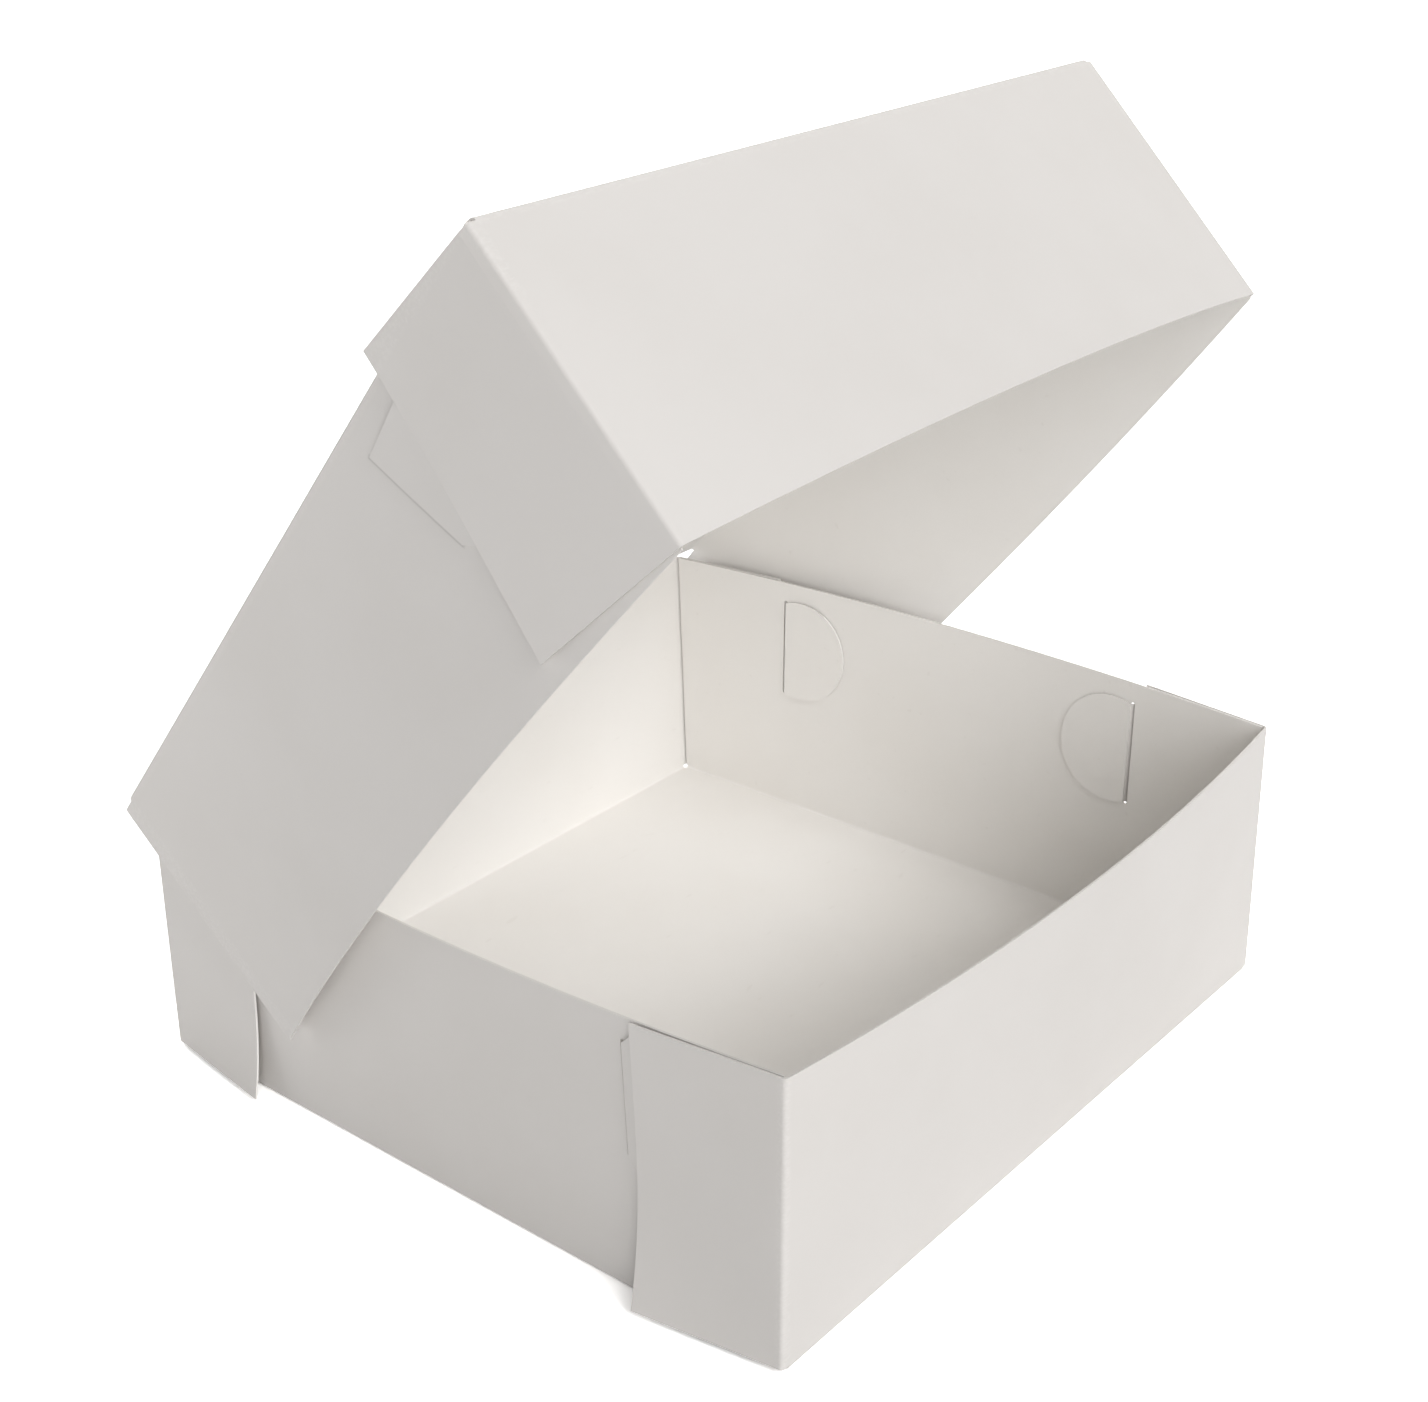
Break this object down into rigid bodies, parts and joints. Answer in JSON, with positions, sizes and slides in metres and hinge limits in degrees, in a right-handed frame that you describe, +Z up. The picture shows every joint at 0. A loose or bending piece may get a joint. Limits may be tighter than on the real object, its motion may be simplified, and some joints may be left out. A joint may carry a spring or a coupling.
{
  "type": "cake box",
  "caption": "White paperboard cake box, folded from one sheet, with bowed walls, corner flaps locked by tongues in slits, and a lid that swings on the back crease.",
  "frame": {"origin": "centre of the underside of the bottom panel, on the surface the box stands on", "axes": "+Z up, -Y towards the front wall, +Y towards the crease of the lid, +X to the right seen from the front"},
  "size_m": [0.2344, 0.2086, 0.2341],
  "materials": {
    "base_board": "smooth white, matt",
    "lid_board": "smooth white, matt"
  },
  "bodies": {
    "base": {"base": "base_board"},
    "lid": {"lid": "lid_board"}
  },
  "joints": [
    {"name": "lid_hinge", "type": "hinge", "parent": "base", "child": "lid", "pos_m": [0, 0.09975, 0.074], "axis": [-1, 0, 0], "range_deg": [-50.5, 129.5]}
  ]
}
